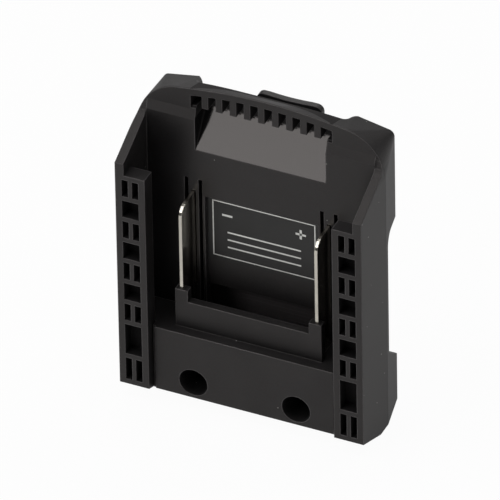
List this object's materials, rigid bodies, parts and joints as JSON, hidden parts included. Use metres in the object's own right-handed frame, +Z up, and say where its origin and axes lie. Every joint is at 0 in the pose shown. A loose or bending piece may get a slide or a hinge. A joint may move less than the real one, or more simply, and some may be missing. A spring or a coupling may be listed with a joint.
{
  "type": "tool battery adapter",
  "caption": "Upright black adapter with a slide-on battery bay and blade terminals in front, a device plug behind and a sprung release latch.",
  "frame": {"origin": "on the resting plane, under the middle of the part's box", "axes": "+Z up along the battery's slide, +X to the right seen from the battery side, -Y towards the battery"},
  "size_m": [0.076, 0.042, 0.1026],
  "materials": {
    "housing_black": "fine moulded texture",
    "carrier_black": "fine moulded texture",
    "latch_black": "fine moulded texture",
    "nickel_plate": "nickel-plated brass strip, stamped",
    "label_film": "satin printed film, left blank",
    "spring_steel": "drawn spring wire",
    "screw_steel": "zinc-plated screw",
    "board_black": "glass-fibre board with black solder mask",
    "component_black": "moulded component body",
    "capacitor_can": "drawn can",
    "fuse_ceramic": "ceramic body with plated ends",
    "red_lead": "soft insulation",
    "black_lead": "soft insulation",
    "insulator_grey": "moulded insulator"
  },
  "bodies": {
    "adapter": {"front_housing": "housing_black", "rear_housing": "housing_black", "terminal_carrier": "carrier_black", "positive_blade": "nickel_plate", "negative_blade": "nickel_plate", "blank_label": "label_film", "left_spring": "spring_steel", "right_spring": "spring_steel", "front_screws": "screw_steel", "rear_screws": "screw_steel", "circuit_board": "board_black", "board_screws": "screw_steel", "power_transistors": "component_black", "smoothing_capacitor": "capacitor_can", "control_chip": "component_black", "fuse": "fuse_ceramic", "shunt_resistor": "component_black", "positive_input_lead": "red_lead", "negative_input_lead": "black_lead", "positive_output_lead": "red_lead", "negative_output_lead": "black_lead", "contact_block": "insulator_grey", "positive_contact": "nickel_plate", "negative_contact": "nickel_plate"},
    "latch": {"release_latch": "latch_black"}
  },
  "joints": [
    {"name": "latch_press", "type": "slide", "parent": "adapter", "child": "latch", "axis": [0, 0, -1], "range_m": [0, 0.004], "stiffness_N_per_m": 500, "springref_m": -0.004, "deforming": ["left_spring", "right_spring"]}
  ]
}
